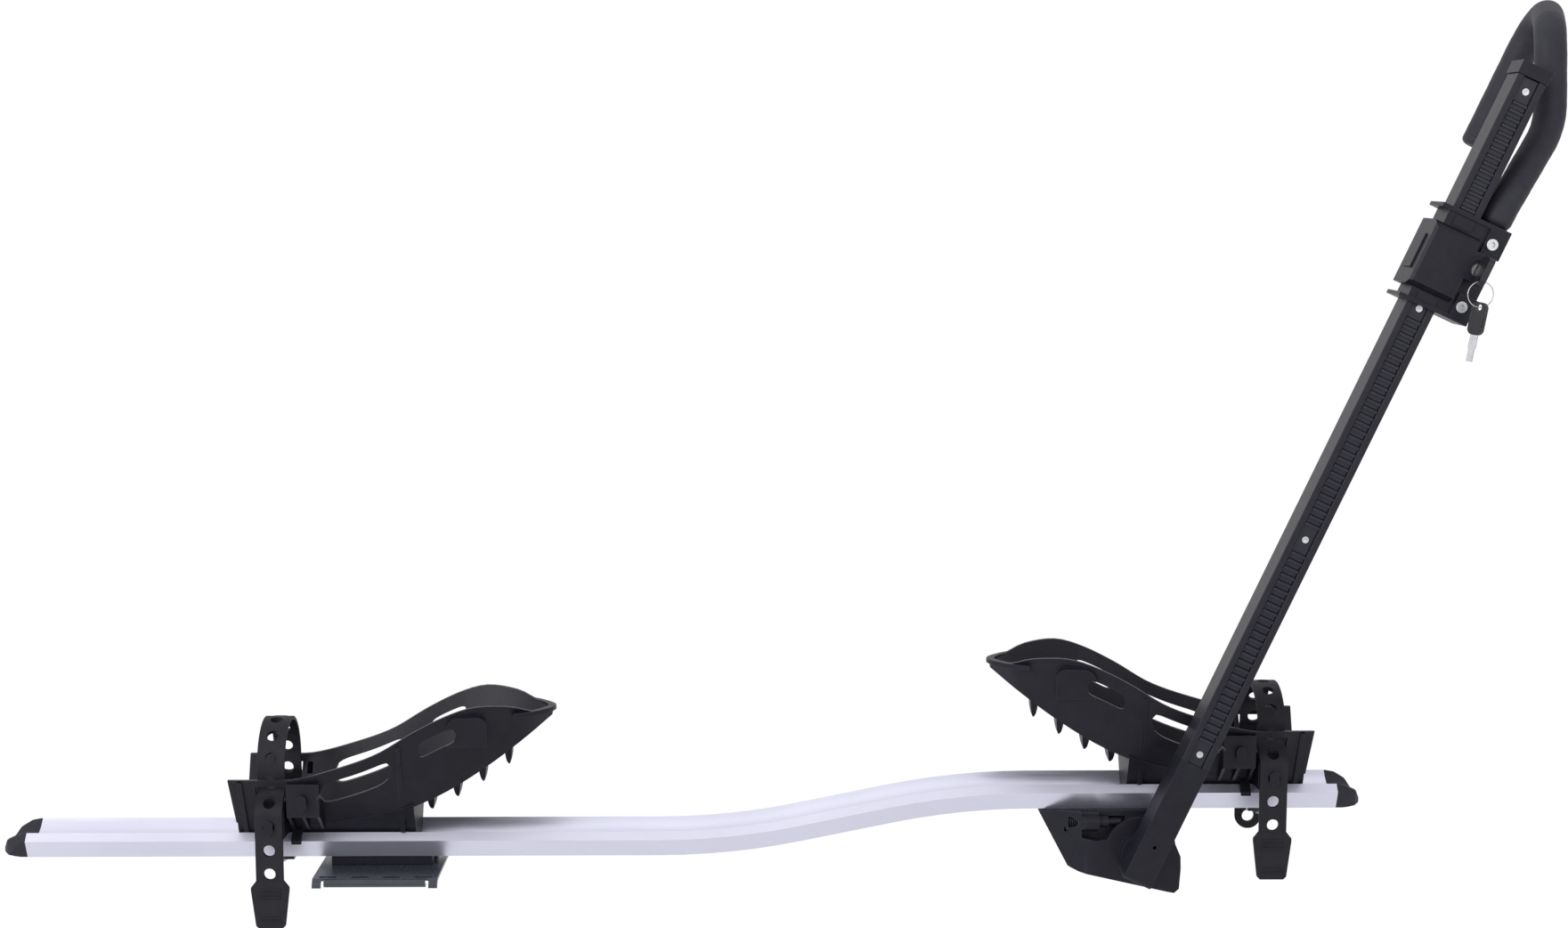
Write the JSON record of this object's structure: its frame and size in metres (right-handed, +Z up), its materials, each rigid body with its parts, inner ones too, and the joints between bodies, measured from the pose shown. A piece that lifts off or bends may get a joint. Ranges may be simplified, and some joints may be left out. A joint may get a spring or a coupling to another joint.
{
  "type": "roof mounted bike carrier",
  "caption": "Bike carrier for a car roof: bent twin rails, wheel cradles with straps, and a folding arm whose locking hook slides to grip the bike's frame.",
  "frame": {"origin": "centre of the front foot's sole, where it rests on the front roof bar", "axes": "+X along the rails to the front end with the arm, +Y across the rails away from the arm, +Z up"},
  "size_m": [1.5971, 0.2263, 0.9405],
  "materials": {
    "rail": "satin anodised",
    "cap": "matte moulded",
    "tray": "fine grain moulded",
    "strap": "matte",
    "housing": "fine grain moulded",
    "arm": "satin powder coat",
    "plate": "satin powder coat",
    "zinc": "zinc plated",
    "steel": "plain",
    "strip": "matte moulded",
    "sleeve": "soft matte",
    "tube": "satin powder coat",
    "pad": "matte",
    "bush": "plain",
    "key_grip": "matte moulded",
    "lock": "bright"
  },
  "bodies": {
    "frame": {"near_rail": "rail", "far_rail": "rail", "rear_near_cap": "cap", "rear_far_cap": "cap", "front_near_cap": "cap", "front_far_cap": "cap", "front_cradle": "tray", "front_strap": "strap", "front_strap_buttons": "tray", "front_clamp_bolt": "zinc", "front_clamp_plate": "plate", "front_clamp_nut": "zinc", "rear_plate": "plate", "rear_spacers": "housing", "rear_plate_bolts": "zinc", "rear_plate_nuts": "zinc", "foot_housing": "housing", "foot_nose_cover": "housing", "foot_sole_plate": "plate", "foot_pad": "pad", "foot_bolts": "zinc", "foot_nuts": "zinc", "pivot_bushes": "bush", "latch_spring": "steel"},
    "rear_tray": {"rear_cradle": "tray", "rear_strap": "strap", "rear_strap_buttons": "tray", "rear_clamp_bolt": "zinc", "rear_clamp_plate": "plate", "rear_clamp_nut": "zinc"},
    "arm": {"pivot_shaft": "steel", "index_disc": "steel", "pivot_washer": "zinc", "pivot_nut": "zinc", "arm_tube": "arm", "arm_boot": "housing", "arm_bottom_cap": "cap", "arm_top_cap": "housing", "toothed_strip": "strip", "strip_screws": "zinc"},
    "slider": {"slider_body": "housing", "slider_cover": "housing", "clamp_screws": "zinc", "clamp_nuts": "zinc", "hook_tube": "tube", "hook_sleeve": "sleeve", "hook_plug": "sleeve", "button_spring": "steel"},
    "button": {"release_button": "housing"},
    "pawl": {"pawl": "steel", "pawl_pin": "steel"},
    "lock": {"lock_cylinder": "lock", "lock_cam": "steel", "key_blade": "steel", "key_head": "key_grip"},
    "key_bunch": {"key_ring": "steel", "spare_key_blade": "steel", "spare_key_head": "key_grip"},
    "latch": {"latch_plunger": "housing"}
  },
  "joints": [
    {"name": "rear_tray_slide", "type": "slide", "parent": "frame", "child": "rear_tray", "axis": [1, 0, 0], "range_m": [-0.15, 0.02]},
    {"name": "arm_fold", "type": "hinge", "parent": "frame", "child": "arm", "pos_m": [0.0132, 0, 0.0332], "axis": [0, -1, 0], "range_deg": [-5, 95]},
    {"name": "slider_slide", "type": "slide", "parent": "arm", "child": "slider", "axis": [0.4195, 0, 0.9078], "range_m": [-0.384, 0.048]},
    {"name": "button_press", "type": "slide", "parent": "slider", "child": "button", "axis": [0.9078, 0, -0.4195], "range_m": [0, 0.003], "stiffness_N_per_m": 800, "springref_m": -0.002, "deforming": ["button_spring"]},
    {"name": "pawl_lift", "type": "slide", "parent": "slider", "child": "pawl", "axis": [0, -1, 0], "range_m": [0, 0.003]},
    {"name": "lock_turn", "type": "hinge", "parent": "slider", "child": "lock", "pos_m": [0.32363, -0.113, 0.63113], "axis": [0, 1, 0], "range_deg": [0, 90]},
    {"name": "key_bunch_swing", "type": "hinge", "parent": "lock", "child": "key_bunch", "pos_m": [0.31965, -0.1385, 0.62251], "axis": [0.9078, 0, -0.4195], "range_deg": [-20, 20]},
    {"name": "latch_pull", "type": "slide", "parent": "frame", "child": "latch", "axis": [-1, 0, 0], "range_m": [0, 0.008], "stiffness_N_per_m": 600, "springref_m": -0.004, "deforming": ["latch_spring"]}
  ],
  "couplings": [
    {"joint": "pawl_lift", "follows": "button_press", "ratio": 1}
  ]
}
